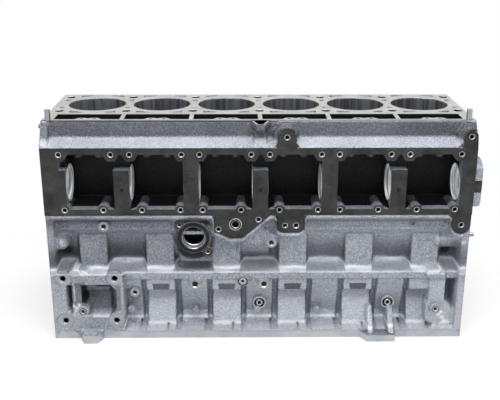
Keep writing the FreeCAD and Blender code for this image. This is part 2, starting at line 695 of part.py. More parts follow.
def side_holes():
    """The holes drilled in from the cam side; those no mount states have a few flat sides each."""
    top, low = flange_bolts()
    tapped = top + low + [(x, z) for x, z, _ in TOP_LUGS]
    tapped += [(MID - 98, EAR_Z - 9), (MID - 4, FLANGE_Z0 - 12), (MID + 58, EAR_Z)]
    tapped.append((REAR_LUG_X, EAR_Z))
    cuts = []
    for at in tapped:
        corners = polygon(at, TAPPED_R, TAPPED_SIDES)
        cuts.append(prism("y", corners, FLANGE_Y - REACH, FLANGE_Y + TAPPED_DEPTH))
    for at, r in (((MID - 58, EAR_Z + 3), OIL_HOLE_R), ((MID + 84, EAR_Z), EAR_HOLE_R)):
        cuts.append(prism("y", polygon(at, r, HEAD_BOLT_SIDES), FLANGE_Y - REACH, FLANGE_Y + TAPPED_DEPTH))
    for at in MOUNT_BOLTS:
        cuts.append(rod("y", at, MOUNT_BOLT_R, MOUNT_Y - REACH, MOUNT_Y + MOUNT_BOLT_DEPTH))
    return cuts


def port_bore():
    """The port's bore, with a web across it a little way in."""
    bore = rod("y", (PORT_X, PORT_Z), PORT_BORE_R, PORT_Y - REACH, PORT_Y + PORT_DEPTH)
    web = box((PORT_X - 30, PORT_X + 30), (PORT_Y + 10, PORT_Y + PORT_DEPTH), (PORT_Z + 4, PORT_Z + 12))
    return [bore.cut(web)]


# ---------------------------------------------------------------- pieces that fit the casting


def bearing_cap(i):
    """Main bearing cap i, let into its register and bored in line with the block."""
    x, half = main_x(i), CAP_HALF_W - REGISTER_FIT
    outline = [
        (-half, 0), (half, 0), (half, CAP_EAR_Z), (half - CAP_NARROW, CAP_EAR_Z),
        (half - CAP_NARROW - 8, -CAP_DEPTH), (-half + CAP_NARROW + 8, -CAP_DEPTH),
        (-half + CAP_NARROW, CAP_EAR_Z), (-half, CAP_EAR_Z),
    ]
    cap = prism("x", outline, x - BULKHEAD_T / 2, x + BULKHEAD_T / 2)
    return cap.cut(rod("x", (0, 0), MAIN_R, FRONT_X, REAR_X))


def cap_bolts():
    """The hexagon heads of the two bolts under each bearing cap."""
    heads = []
    for i in range(len(MAINS)):
        for y in (-CAP_BOLT_Y, CAP_BOLT_Y):
            corners = polygon((main_x(i), y), CAP_BOLT_AF / math.sqrt(3), 6)
            heads.append(prism("z", corners, CAP_EAR_Z - CAP_BOLT_HEAD_H, CAP_EAR_Z))
    return Part.makeCompound(heads)


def fitted():
    """The round pieces that sit in holes of their own size: (name, [(axis, place, radius, ends)])."""
    dowel_y = (DECK_FRONT_Y + SLOT_Y0) / 2
    up = DECK_Z - DECK_DOWEL_IN, DECK_Z + DECK_DOWEL_UP
    out = REAR_X - END_DOWEL_IN, REAR_X + END_DOWEL_OUT
    dowel_spots = [
        (RAIL_FRONT_Y + END_DOWEL_INSET, PORT_Z),
        (RAIL_BACK_Y - END_DOWEL_INSET, PAN_Z + END_DOWEL_RISE),
    ]
    plug_at = DECK_FRONT_Y + SMALL_PLUG_INSET, DECK_Z - SMALL_PLUG_INSET
    inward = FRONT_X - SMALL_PLUG_OUT, FRONT_X + SMALL_PLUG_IN
    face = BACK_WALL_Y + JACKET_SWELL - CORE_PLUG_SINK
    seat = face - CORE_PLUG_T, face + CORE_PLUG_SINK + REACH
    return [
        ("deck_dowels", [("z", (x, dowel_y), DECK_DOWEL_R, *up)
                         for x in (FRONT_X + END_PLATE_T, REAR_X - END_PLATE_T)]),
        ("housing_dowels", [("x", at, END_DOWEL_R, *out) for at in dowel_spots]),
        ("deck_gallery_plug", [("x", plug_at, SMALL_PLUG_R, *inward)]),
        ("core_plugs", [("y", (c, CORE_PLUG_Z), CORE_PLUG_R, *seat) for c in CENTRES[::2]]),
    ]


def cylinder_block():
    """The one iron casting, machined."""
    solid = trunk()
    extra = end_plates() + upper_pads() + skirt_bulges() + skirt_pilasters() + back_side()
    extra += flange_aprons() + lifting_lugs() + centre_rib() + oil_port_pad() + wall_bosses()
    extra += front_mount() + rear_ribs() + rail_tabs() + [cam_boss()]
    solid = solid.multiFuse(extra)
    across = DECK_FRONT_Y - REACH, DECK_FRONT_Y + 10
    notch = box((MID - 18, MID + 18), across, (SHELF_Z - 2, DECK_Z - 12))
    solid = solid.cut(notch).fuse(centre_rib()[0])
    cuts = crankcase() + cylinder_bores() + cam_chest() + windows()
    cuts += head_bolt_holes() + coolant_passages() + side_holes()
    cuts.append(rod("x", (CAM_Y, CAM_Z), CAM_BORE_R, FRONT_X - REACH, REAR_X + CAM_BOSS_OUT + REACH))
    cuts += port_bore()
    for _, seats in fitted():
        cuts += [rod(*seat) for seat in seats]
    return solid.cut(cuts).removeSplitter()


def save(name, shape):
    """Writes one node."""
    if not shape.isValid() or not shape.Solids:
        raise ValueError(name)
    print(name, len(shape.Solids), len(shape.Faces), round(shape.Volume / 1000, 1))
    shape.exportStep("parts/" + name + ".step")


os.makedirs("parts", exist_ok=True)
save("cylinder_block", cylinder_block())
for number in range(len(MAINS)):
    save("main_bearing_cap_" + str(number + 1), bearing_cap(number))
save("main_cap_bolts", cap_bolts())
for name, seats in fitted():
    save(name, Part.makeCompound([rod(*seat) for seat in seats]))
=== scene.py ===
import json
import math

import bpy
import numpy as np
from mathutils import Matrix, Vector

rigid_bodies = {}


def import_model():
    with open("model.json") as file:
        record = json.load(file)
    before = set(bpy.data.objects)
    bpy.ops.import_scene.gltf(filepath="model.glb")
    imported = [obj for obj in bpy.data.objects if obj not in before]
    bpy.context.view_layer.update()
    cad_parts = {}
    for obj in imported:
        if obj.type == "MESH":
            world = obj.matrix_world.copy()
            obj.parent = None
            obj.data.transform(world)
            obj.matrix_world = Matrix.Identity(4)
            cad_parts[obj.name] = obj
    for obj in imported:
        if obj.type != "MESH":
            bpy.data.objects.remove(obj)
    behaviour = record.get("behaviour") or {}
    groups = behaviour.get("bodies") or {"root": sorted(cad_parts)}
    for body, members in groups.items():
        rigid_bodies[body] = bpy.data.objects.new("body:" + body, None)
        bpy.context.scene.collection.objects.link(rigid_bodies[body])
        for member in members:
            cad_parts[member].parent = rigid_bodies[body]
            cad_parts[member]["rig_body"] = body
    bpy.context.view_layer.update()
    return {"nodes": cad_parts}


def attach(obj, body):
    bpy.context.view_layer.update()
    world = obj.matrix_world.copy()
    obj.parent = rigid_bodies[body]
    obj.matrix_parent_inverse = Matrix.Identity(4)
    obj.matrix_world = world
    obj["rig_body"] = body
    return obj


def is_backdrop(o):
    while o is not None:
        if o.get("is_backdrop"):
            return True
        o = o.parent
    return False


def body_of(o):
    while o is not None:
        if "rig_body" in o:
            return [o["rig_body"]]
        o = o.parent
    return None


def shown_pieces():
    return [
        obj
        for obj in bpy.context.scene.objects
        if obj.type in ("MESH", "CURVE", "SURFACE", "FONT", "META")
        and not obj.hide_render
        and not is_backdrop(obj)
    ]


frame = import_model()

MM = 0.001

# Sizes and places on the casting in millimetres, along the frame's own axes; pairs are (x, z)
BORE_PITCH = 160.0
CENTRES = BORE_PITCH * np.arange(-2.5, 3.0)
MAINS = BORE_PITCH * np.arange(-3.0, 4.0)
FRONT_X, REAR_X = -502.0, 496.0
DECK_Z, PAN_Z = 371.0, -170.0
FLANGE_Y = -211.0
FLANGE_LOW, FLANGE_HIGH = 155.0, 316.0
FURTHEST_REACH = 233.6
CAM_Y, CAM_Z, CAM_BORE_R = -164.0, 221.0, 42.5
LINER_BORE_R = 70.2
MAIN_R = 60.5
PORT = (-157.0, 96.0)
PORT_EARS = [(-190.0, 128.0), (-124.0, 60.0)]
MOUNT_BOLTS = [(x, z) for x in (-473.0, -349.0) for z in (-9.0, -121.0)]
LUG, REAR_LUG = (60.0, 341.0), (479.0, 342.0)
BULGES = CENTRES[1:5]


# ---------------------------------------------------------------- node helpers


class Sheet:
    """A node tree with short ways to add nodes and join sockets."""

    def __init__(self, tree):
        self.tree = tree

    def add(self, kind, values=None, **settings):
        """A node with its settings, and each value set or joined by its socket's name."""
        node = self.tree.nodes.new(kind)
        for key, value in settings.items():
            setattr(node, key, value)
        for name, value in (values or {}).items():
            self.put(node.inputs[name], value)
        return node

    def put(self, socket, value):
        """Joins an output socket to this input, or sets its number."""
        if isinstance(value, bpy.types.NodeSocket):
            self.tree.links.new(value, socket)
        else:
            socket.default_value = value

    def maths(self, operation, *values, clamp=False):
        """One step of arithmetic on numbers or sockets."""
        node = self.add("ShaderNodeMath", operation=operation, use_clamp=clamp)
        for i, value in enumerate(values):
            self.put(node.inputs[i], value)
        return node.outputs[0]

    def band(self, value, low, high, from_value=0.0, to_value=1.0):
        """Value mapped smoothly from low...high to from_value...to_value."""
        node = self.add("ShaderNodeMapRange", interpolation_type="SMOOTHSTEP")
        sockets = [s for s in node.inputs if s.type == "VALUE"]
        for socket, number in zip(sockets, (value, low, high, from_value, to_value)):
            self.put(socket, number)
        return node.outputs[0]

    def blend(self, factor, a, b):
        """Two colours mixed by a factor."""
        node = self.add("ShaderNodeMix", data_type="RGBA", blend_type="MIX")
        inputs = [s for s in node.inputs if s.enabled]
        for socket, value in zip(inputs, (factor, a, b)):
            self.put(socket, value)
        return [s for s in node.outputs if s.enabled][0]

    def place(self, scale=(1.0, 1.0, 1.0), turn=(0.0, 0.0, 0.0)):
        """Object coordinates, stretched and turned."""
        where = self.add("ShaderNodeTexCoord").outputs["Object"]
        node = self.add("ShaderNodeMapping", {"Vector": where, "Rotation": turn, "Scale": scale})
        return node.outputs[0]

    def grain(self, scale, detail, rough, where=None):
        """Fractal noise at so many cells a metre."""
        node = self.add("ShaderNodeTexNoise", {"Scale": scale, "Detail": detail, "Roughness": rough})
        self.put(node.inputs["Vector"], where or self.place())
        return node.outputs["Fac"]


def group(name, inputs, outputs, build):
    """A shader node group with named inputs and outputs, filled in by build."""
    tree = bpy.data.node_groups.new(name, "ShaderNodeTree")
    for label, kind, value in inputs:
        socket = tree.interface.new_socket(label, in_out="INPUT", socket_type=kind)
        socket.default_value = value
    for label, kind in outputs:
        tree.interface.new_socket(label, in_out="OUTPUT", socket_type=kind)
    sheet = Sheet(tree)
    source = sheet.add("NodeGroupInput").outputs
    sink = sheet.add("NodeGroupOutput").inputs
    for label, value in build(sheet, source).items():
        sheet.put(sink[label], value)
    return tree


NUMBER, NORMAL = "NodeSocketFloat", "NodeSocketVector"
ARC_ROUNDING = 0.0009


def build_cast_skin(sheet, given):
    """Sand-cast skin: pebbles a few millimetres wide under a fine grit, with slow waves and dark pits."""
    waves = sheet.grain(9.0, 3.0, 0.55)
    pebble = sheet.add("ShaderNodeTexVoronoi", {"Scale": 260.0, "Randomness": 1.0}, feature="SMOOTH_F1")
    sheet.put(pebble.inputs["Vector"], sheet.place())
    round_pebble = sheet.band(pebble.outputs["Distance"], 0.05, 0.75, 1.0, 0.0)
    grit = sheet.grain(620.0, 4.0, 0.62)
    lumps = sheet.grain(150.0, 3.0, 0.6)
    height = sheet.maths("MULTIPLY_ADD", lumps, 1.1, sheet.maths("MULTIPLY", round_pebble, 0.45))
    height = sheet.maths("MULTIPLY_ADD", grit, 0.75, height)
    height = sheet.maths("MULTIPLY", height, given["Coarseness"])
    spark = sheet.band(sheet.grain(430.0, 2.0, 0.7), 0.56, 0.78)
    pit = sheet.band(sheet.grain(330.0, 3.0, 0.65), 0.36, 0.24)
    mottle = sheet.band(sheet.grain(240.0, 3.0, 0.65), 0.36, 0.64)
    mottle = sheet.maths("MULTIPLY", mottle, 0.65)
    tone = sheet.maths("MULTIPLY_ADD", sheet.band(waves, 0.3, 0.7), 0.35, mottle)
    return {"Height": height, "Spark": spark, "Pit": pit, "Tone": tone}


def build_mill_marks(sheet, given):
    """Milled iron: fine arcs from the cutter, a slow change of tone and a few handling marks."""
    where = sheet.place()
    parts = sheet.add("ShaderNodeSeparateXYZ", {"Vector": where}).outputs
    x = sheet.maths("PINGPONG", parts["X"], sheet.maths("MULTIPLY", given["Pitch"], 2.0))
    sweep = sheet.maths("SQRT", sheet.maths("ADD", sheet.maths("MULTIPLY", x, x), ARC_ROUNDING))
    lines = sheet.add("ShaderNodeCombineXYZ", {"X": sheet.maths("ADD", sweep, parts["X"])}).outputs[0]
    cut = sheet.grain(1400.0, 1.0, 0.5, lines)
    cloud = sheet.grain(26.0, 4.0, 0.6)
    scratch = sheet.grain(300.0, 2.0, 0.7, sheet.place((0.12, 1.0, 1.0), (0.0, 0.5, 0.2)))
    return {"Height": cut, "Cloud": sheet.band(cloud, 0.3, 0.7), "Scratch": sheet.band(scratch, 0.62, 0.7)}


def build_soft_edge(sheet, given):
    """The normal of a corner that is broken by a small radius."""
    return {"Normal": sheet.add("ShaderNodeBevel", {"Radius": given["Radius"]}, samples=6).outputs[0]}


CAST_SKIN = group("cast skin", [("Coarseness", NUMBER, 1.0)],
                  [("Height", NUMBER), ("Spark", NUMBER), ("Pit", NUMBER), ("Tone", NUMBER)], build_cast_skin)
MILL_MARKS = group("mill marks", [("Pitch", NUMBER, 0.1)],
                   [("Height", NUMBER), ("Cloud", NUMBER), ("Scratch", NUMBER)], build_mill_marks)
SOFT_EDGE = group("soft edge", [("Radius", NUMBER, 0.001)], [("Normal", NORMAL)], build_soft_edge)


def use(sheet, tree, **values):
    """A group placed in a material, with its own values."""
    node = sheet.add("ShaderNodeGroup", node_tree=tree)
    for name, value in values.items():
        sheet.put(node.inputs[name], value)
    return node.outputs


def finish_of(name, build):
    """A material: build fills in the sockets of its Principled BSDF."""
    material = bpy.data.materials.new(name)
    material.use_nodes = True
    material.node_tree.nodes.clear()
    sheet = Sheet(material.node_tree)
    shader = sheet.add("ShaderNodeBsdfPrincipled")
    sheet.add("ShaderNodeOutputMaterial", {"Surface": shader.outputs[0]})
    for socket, value in build(sheet).items():
        sheet.put(shader.inputs[socket], value)
    return material


PIT_COLOUR = (0.03, 0.033, 0.038, 1)
# Painted shade and painted highlight colours, mixed in by the skins' tone attribute
PAINTED_SHADE_COLOUR = (0.02, 0.021, 0.024, 1)
PAINTED_HIGHLIGHT_COLOUR = (0.86, 0.88, 0.91, 1)


def raw_casting(dark, light, spark, coarseness, depth, edge):
    """Raw cast iron under a thin silver-grey coat. The mesh's tone attribute darkens it with painted shade
    below 0 and brightens it with a painted highlight above 0.
    """

    def build(sheet):
        skin = use(sheet, CAST_SKIN, Coarseness=coarseness)
        colour = sheet.blend(skin["Tone"], dark, light)
        colour = sheet.blend(skin["Spark"], colour, spark)
        colour = sheet.blend(sheet.maths("MULTIPLY", skin["Pit"], 0.55), colour, PIT_COLOUR)
        # Painted light: negative tone mixes in the painted shade colour, positive tone the painted highlight
        # colour
        tone = sheet.add("ShaderNodeAttribute", attribute_name="tone").outputs["Fac"]
        painted_shade = sheet.maths("MULTIPLY", tone, -1.0, clamp=True)
        wear_and_painted_light = sheet.maths("MULTIPLY", tone, 1.0, clamp=True)
        colour = sheet.blend(painted_shade, colour, PAINTED_SHADE_COLOUR)
        colour = sheet.blend(wear_and_painted_light, colour, PAINTED_HIGHLIGHT_COLOUR)
        bump = sheet.add("ShaderNodeBump", {"Strength": 1.0, "Distance": depth, "Height": skin["Height"]})
        sheet.put(bump.inputs["Normal"], use(sheet, SOFT_EDGE, Radius=edge)["Normal"])
        return {"Base Color": colour, "Metallic": 0.65, "Normal": bump.outputs[0],
                "Roughness": sheet.band(skin["Spark"], 0.0, 1.0, 0.46, 0.3)}

    return build


MILLED_EDGE = 0.0006


def milled(dark, light, shine, metal):
    """A machined face of iron."""

    def build(sheet):
        marks = use(sheet, MILL_MARKS, Pitch=0.1)
        colour = sheet.blend(marks["Cloud"], dark, light)
        wear_and_painted_light = sheet.maths("MULTIPLY", marks["Scratch"], 0.04)
        colour = sheet.blend(wear_and_painted_light, colour, sheet.blend(0.5, light, (1, 1, 1, 1)))
        bump = sheet.add("ShaderNodeBump", {"Strength": 0.25, "Distance": 0.0001, "Height": marks["Height"]})
        sheet.put(bump.inputs["Normal"], use(sheet, SOFT_EDGE, Radius=MILLED_EDGE)["Normal"])
        return {"Base Color": colour, "Metallic": metal, "Normal": bump.outputs[0],
                "Roughness": sheet.band(marks["Cloud"], 0.0, 1.0, shine - 0.06, shine + 0.06)}

    return build


def honed(dark, light, stretch, scale, metal):
    """A honed bore: streaks along the axes that are stretched least, under a fine sheen."""

    def build(sheet):
        streak = sheet.band(sheet.grain(scale, 3.0, 0.6, sheet.place(stretch)), 0.38, 0.62)
        return {"Base Color": sheet.blend(streak, dark, light), "Metallic": metal, "Roughness": 0.3}

    return build


FINISHES = {
    "cast_wall": raw_casting((0.19, 0.208, 0.24, 1), (0.43, 0.46, 0.52, 1), (0.88, 0.90, 0.94, 1),
                             1.0, 0.0022, 0.003),
    # Painted shade: cast iron darkened to near black for the shaded insides of the chest and crankcase
    "cast_inside": raw_casting((0.003, 0.003, 0.0035, 1), (0.010, 0.011, 0.012, 1), (0.035, 0.035, 0.038, 1),
                               0.8, 0.0009, 0.003),
    "deck_face": milled((0.33, 0.327, 0.312, 1), (0.51, 0.503, 0.485, 1), 0.34, 0.7),
    # Painted reflection: the same milled iron as the deck, darkened for the dark reflection on the flange
    # face
    "flange_face": milled((0.020, 0.021, 0.021, 1), (0.048, 0.048, 0.047, 1), 0.42, 0.6),
    "bored_iron": milled((0.42, 0.43, 0.45, 1), (0.60, 0.61, 0.64, 1), 0.3, 0.9),
    "bright_rim": milled((0.34, 0.34, 0.345, 1), (0.52, 0.52, 0.53, 1), 0.3, 0.85),
    "mount_iron": milled((0.26, 0.27, 0.29, 1), (0.40, 0.41, 0.44, 1), 0.4, 0.7),
    # Painted shade: cast iron darkened for the lobes and push-rod guides that stand in the windows' shade
    "lobe_iron": raw_casting((0.045, 0.047, 0.052, 1), (0.11, 0.115, 0.125, 1), (0.3, 0.3, 0.32, 1),
                             0.8, 0.0006, 0.001),
    # Painted dark: milled iron darkened for the dark reflection on the oil port's face and for the shade in
    # the rear cam boss's notch
    "port_iron": milled((0.018, 0.018, 0.019, 1), (0.048, 0.048, 0.050, 1), 0.36, 0.5),
    # Painted shade: near-black iron inside holes and grooves and on the hidden backs of turned pieces
    "dark_hole": milled((0.008, 0.008, 0.009, 1), (0.016, 0.016, 0.018, 1), 0.4, 0.6),
    "honed_iron": honed((0.16, 0.175, 0.20, 1), (0.40, 0.42, 0.45, 1), (1.0, 1.0, 0.04), 90.0, 0.85),
    "hole_iron": milled((0.05, 0.05, 0.05, 1), (0.10, 0.10, 0.10, 1), 0.5, 0.6),
    "cap_iron": milled((0.22, 0.225, 0.23, 1), (0.34, 0.345, 0.35, 1), 0.4, 0.7),
    "bolt_steel": milled((0.07, 0.07, 0.075, 1), (0.13, 0.13, 0.135, 1), 0.36, 0.8),
    "ground_pin": milled((0.30, 0.30, 0.31, 1), (0.42, 0.42, 0.43, 1), 0.25, 0.9),
    "rail_edge": milled((0.36, 0.38, 0.41, 1), (0.47, 0.49, 0.52, 1), 0.42, 0.6),
    # Painted light: near white and barely metallic, for the light the cam bearing bores catch, with darker
    # rings round their axis
    "cam_bore": honed((0.24, 0.25, 0.27, 1), (1.0, 1.0, 1.0, 1), (1.0, 0.05, 0.05), 190.0, 0.15),
}
MATERIALS = {name: finish_of(name, build) for name, build in FINISHES.items()}


# ---------------------------------------------------------------- the casting's own faces


def face_table(node):
    """Each face's middle in millimetres and its outward direction."""
    mesh = node.data
    count = len(mesh.polygons)
    middle, normal = np.empty(count * 3), np.empty(count * 3)
    mesh.polygons.foreach_get("center", middle)
    mesh.polygons.foreach_get("normal", normal)
    return middle.reshape(-1, 3) / MM, normal.reshape(-1, 3)


def casting_finishes(node):
    """Gives each face of the casting its finish: cast, milled, bored or drilled, by where it lies."""
    order = ["cast_wall", "cast_inside", "deck_face", "flange_face", "bored_iron", "cap_iron", "rail_edge"]
    middle, normal = face_table(node)
    x, y, z = middle.T
    along_x, along_y, along_z = np.abs(normal).T
    kind = np.zeros(len(middle), int)

    def mark(name, mask):
        kind[mask] = order.index(name)

    chest = (y > -187) & (y < 108) & (x > -487) & (x < 481)
    crankcase = (np.abs(y - 9) < 136) & (x > -500) & (x < 494) & (z > -169.5) & (z < 101)
    # Faces inside the chest and crankcase take the cast iron painted near black for shade
    mark("cast_inside", chest & (z > 160) & (z < 369) & (y < -100))
    mark("cast_inside", crankcase)
    mark("cast_inside", chest & (z > 164) & (z < 336) & (along_z + along_y > 0.2) & (y > -100))
    mark("cast_wall", (y > 99) & (normal[:, 1] > -0.1) & (z < 369))
    mark("deck_face", z > DECK_Z - 0.2)
    # The flange's machined face takes milled iron painted dark for its dark reflection
    mark("flange_face", (y < FLANGE_Y + 0.2) & (z > 90))
    mark("cap_iron", (x < FRONT_X + 0.2) | ((x > REAR_X - 0.2) & (along_x > 0.9)))
    mark("rail_edge", (z < -149.0) & (y < -195.0) & (normal[:, 1] < -0.3))
    mark("cap_iron", z < PAN_Z + 0.2)
    from_bore = np.hypot(x[:, None] - CENTRES, y[:, None]) - LINER_BORE_R
    mark("bored_iron", (np.abs(from_bore) < 0.8).any(axis=1) & (along_z < 0.1) & (z > 90))
    mark("bored_iron", (np.abs(np.hypot(y - CAM_Y, z - CAM_Z) - CAM_BORE_R) < 0.6) & (along_x < 0.1))
    mark("bored_iron", (np.abs(np.hypot(y, z) - MAIN_R) < 0.6) & (along_x < 0.1))
    mesh = node.data
    mesh.materials.clear()
    for name in order:
        mesh.materials.append(MATERIALS[name])
    mesh.polygons.foreach_set("material_index", kind)
    mesh.update()


nodes = frame["nodes"]
casting_finishes(nodes["cylinder_block"])
OTHER_NODES = {"main_bearing_cap": "cap_iron", "main_cap_bolts": "bolt_steel", "deck_dowels": "ground_pin",
               "housing_dowels": "ground_pin", "deck_gallery_plug": "bolt_steel", "core_plugs": "cap_iron"}
for name, node in nodes.items():
    for start, finish in OTHER_NODES.items():
        if name.startswith(start):
            node.data.materials.clear()
            node.data.materials.append(MATERIALS[finish])


# ---------------------------------------------------------------- rounded cast skins


# The cam side's triangles reach past OUTER_REACH. The two steps are the plastic number's inverse and its
# square, whose multiples, less their whole parts, fill a square evenly.
OUTER_REACH = 85.0
POINTS_PER_CELL = 9
EMPTY = -999.0
S_STEP, T_STEP = 0.7548776662, 0.5698402910


def reach_map(node, x, z, cell):
    """How far a node reaches towards -Y over each cell of a grid, in millimetres. Points are spread evenly
    over its triangles as corner + s * edge + t * other edge, with s and t folded back inside, and each cell
    keeps the furthest. A cell that no point falls in takes its furthest neighbour."""
    mesh = node.data
    mesh.calc_loop_triangles()
    corners = np.empty(len(mesh.loop_triangles) * 3, int)
    mesh.loop_triangles.foreach_get("vertices", corners)
    points = np.empty(len(mesh.vertices) * 3)
    mesh.vertices.foreach_get("co", points)
    a, b, c = (points.reshape(-1, 3) / MM)[corners.reshape(-1, 3)].transpose(1, 0, 2)
    outer = -np.minimum.reduce([a[:, 1], b[:, 1], c[:, 1]]) > OUTER_REACH
    a, b, c = a[outer], b[outer], c[outer]
    edge, other = b - a, c - a
    area = np.abs(edge[:, 0] * other[:, 2] - edge[:, 2] * other[:, 0]) / 2
    longest = np.maximum(np.abs(edge), np.abs(other)).max(axis=1)
    count = np.ceil(area / cell ** 2 * POINTS_PER_CELL + longest / cell * 2).astype(int) + 2
    which = np.repeat(np.arange(len(count)), count)
    k = np.arange(count.sum()) - np.repeat(np.cumsum(count) - count, count)
    s, t = (0.5 + k * S_STEP) % 1.0, (0.5 + k * T_STEP) % 1.0
    fold = s + t > 1
    s, t = np.where(fold, 1 - s, s)[:, None], np.where(fold, 1 - t, t)[:, None]
    point = a[which] + s * edge[which] + t * other[which]
    column = np.rint((point[:, 0] - x[0]) / cell).astype(int)
    row = np.rint((point[:, 2] - z[0]) / cell).astype(int)
    inside = (column >= 0) & (column < len(x)) & (row >= 0) & (row < len(z))
    height = np.full((len(z), len(x)), EMPTY)
    np.maximum.at(height, (row[inside], column[inside]), -point[inside, 1])
    return np.where(height == EMPTY, shifted(height, cell, cell, np.maximum), height)


def shifted(height, radius, cell, pick, cap=None):
    """For each cell, the pick (furthest or nearest) of its neighbours within a radius, each raised by
    cap(distance)."""
    reach = int(round(radius / cell))
    padded = np.pad(height, reach, mode="edge")
    rows, columns = height.shape
    best = height.copy() if cap is None else height + cap(0.0)
    for down in range(-reach, reach + 1):
        for across in range(-reach, reach + 1):
            gap = math.hypot(down, across) * cell
            if gap > radius:
                continue
            window = padded[reach + down:reach + down + rows, reach + across:reach + across + columns]
            best = pick(best, window + (cap(gap) if cap else 0.0))
    return best


def rolled(height, cell, fillet, corner):
    """A ball of the fillet's radius rolled along the inner corners, and a smaller one over the outer edges:
    the furthest neighbour plus sqrt(R^2 - d^2), then the nearest less it, then the furthest plus
    sqrt(r^2 - d^2)."""

    def ball(radius, sign):
        return lambda gap: sign * math.sqrt(max(radius ** 2 - gap ** 2, 0.0))

    grown = shifted(height, fillet, cell, np.maximum, ball(fillet, 1))
    closed = shifted(grown, fillet, cell, np.minimum, ball(fillet, -1))
    return shifted(closed, corner, cell, np.maximum, ball(corner, 1))


def linked(name, mesh):
    """A mesh's object, in the scene and on the block's own body."""
    piece = bpy.data.objects.new(name, mesh)
    bpy.context.scene.collection.objects.link(piece)
    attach(piece, "root")
    return piece


def shell(name, x, z, height, inside, tone, material):
    """A closed shell: the grid of (x, -height, z), its rim drawn back to the plane inside, and a fan behind.
    Tone, from -1 for painted shade to 1 for a painted highlight, stays with the grid's points."""
    rows, columns = height.shape
    across, up = np.meshgrid(x, z)
    front = np.stack([across, -height, up], axis=-1).reshape(-1, 3)
    index = np.arange(rows * columns).reshape(rows, columns)
    rim = np.concatenate([index[0, :-1], index[:-1, -1], index[-1, :0:-1], index[:0:-1, 0]])
    back = front[rim].copy()
    back[:, 1] = -inside
    centre = back.mean(axis=0, keepdims=True)
    points = np.concatenate([front, back, centre]) * MM
    low, high = index[:-1, :-1].ravel(), index[1:, 1:].ravel()
    faces = np.stack([low, index[:-1, 1:].ravel(), high, index[1:, :-1].ravel()], axis=1)
    ring = rows * columns + np.arange(len(rim))
    following, ring_after = np.roll(rim, -1), np.roll(ring, -1)
    wall = np.stack([following, rim, ring, ring_after], axis=1)
    fan = np.stack([ring_after, ring, np.full(len(rim), len(points) - 1)], axis=1)
    mesh = bpy.data.meshes.new(name)
    mesh.from_pydata(points.tolist(), [], faces.tolist() + wall.tolist() + fan.tolist())
    mesh.polygons.foreach_set("use_smooth", np.ones(len(mesh.polygons), bool))
    shade = mesh.attributes.new("tone", "FLOAT", "POINT")
    shade.data.foreach_set("value", np.concatenate([tone.ravel(), np.zeros(len(back) + 1)]))
    mesh.materials.append(MATERIALS[material])
    mesh.update()
    return linked(name, mesh)


def disc(x, z, at, radius):
    """The cells of a grid that lie within a radius of a point."""
    return np.hypot(x[None, :] - at[0], z[:, None] - at[1]) < radius


# Round places that the skins leave bare, and the widest hole in the flange's plane
BARE_DISCS = [(PORT, 42.0)] + [(ear, 13.0) for ear in PORT_EARS] + [(bolt, 20.0) for bolt in MOUNT_BOLTS]
WIDEST_HOLE = 11.0
RAIL_TOP, DECK_EDGE = -150.0, 369.0


def machined_cells(x, z, cell, reach):
    """The cells that stay bare: the flange's own plane with its holes filled, the port, the mount's bosses
    below the band, the rail's edge and the deck's."""
    up = z[:, None]
    plane = np.abs(reach + FLANGE_Y) < 0.15
    plane = shifted(plane.astype(float), WIDEST_HOLE, cell, np.maximum) > 0.5
    plane = shifted(plane.astype(float), WIDEST_HOLE, cell, np.minimum) > 0.5
    bare = plane | ((up > FLANGE_LOW) & (up < FLANGE_HIGH))
    for at, radius in BARE_DISCS:
        bare |= disc(x, z, at, radius) & ((up < 0.0) | (at[1] > 0.0))
    return bare | (up < RAIL_TOP) | (up > DECK_EDGE)


SKIN_LIFT, SKIN_SINK = 0.5, 3.0


def front_skin(name, span, cell, inside, forms, tones, fillet, corner):
    """The cast wall on the cam side over a span of heights: the casting's reach with its forms, rounded and
    lifted a little proud of it, and sunk under it at the machined places and at both ends."""
    x = np.arange(FRONT_X + 0.4, REAR_X, cell)
    z = np.arange(span[0], span[1] + cell / 2, cell)
    reach = reach_map(nodes["cylinder_block"], x, z, cell)
    across, up = np.meshgrid(x, z)
    skin = rolled(forms(across, up, reach, cell), cell, fillet, corner) + SKIN_LIFT + waviness(across, up)
    sunk = shifted(reach, SKIN_SINK, cell, np.minimum) - SKIN_SINK
    skin = np.where(machined_cells(x, z, cell, reach), sunk, skin)
    edge = np.minimum.reduce([across - x[0], x[-1] - across])
    skin = np.where(edge < cell * 0.9, np.minimum(skin, reach - 2.0), skin)
    tone = np.clip(tones(across, up, reach, cell), -1.0, 1.0)
    return shell(name, x, z, np.clip(skin, inside + 1.0, FURTHEST_REACH), inside, tone, "cast_wall")


def swell(value, middle, width):
    """A smooth hump, exp(-(v - m)^2 / w^2)."""
    return np.exp(-((value - middle) / width) ** 2)


def step(value, start, end):
    """A smooth step from 0 at start to 1 at end, t^2 (3 - 2 t) with t = (v - start) / (end - start)."""
    t = np.clip((value - start) / (end - start), 0.0, 1.0)
    return t * t * (3 - 2 * t)


def near(value, places, half, soft):
    """1 within half of any of the places and 0 beyond half + soft, with a smooth edge."""
    gap = np.abs(value[..., None] - np.atleast_1d(places)).min(axis=-1)
    return 1.0 - step(gap, half, half + soft)


def spot(x, z, at, radius):
    """A soft round spot, exp(-d^2 / r^2)."""
    return np.exp(-((x - at[0]) ** 2 + (z - at[1]) ** 2) / radius ** 2)


def waviness(x, z):
    """The slow unevenness of a sand casting, half a millimetre of crossed sine waves."""
    return 0.5 * np.sin(x / 37.0 + z / 29.0) * np.sin(z / 41.0 - x / 83.0)


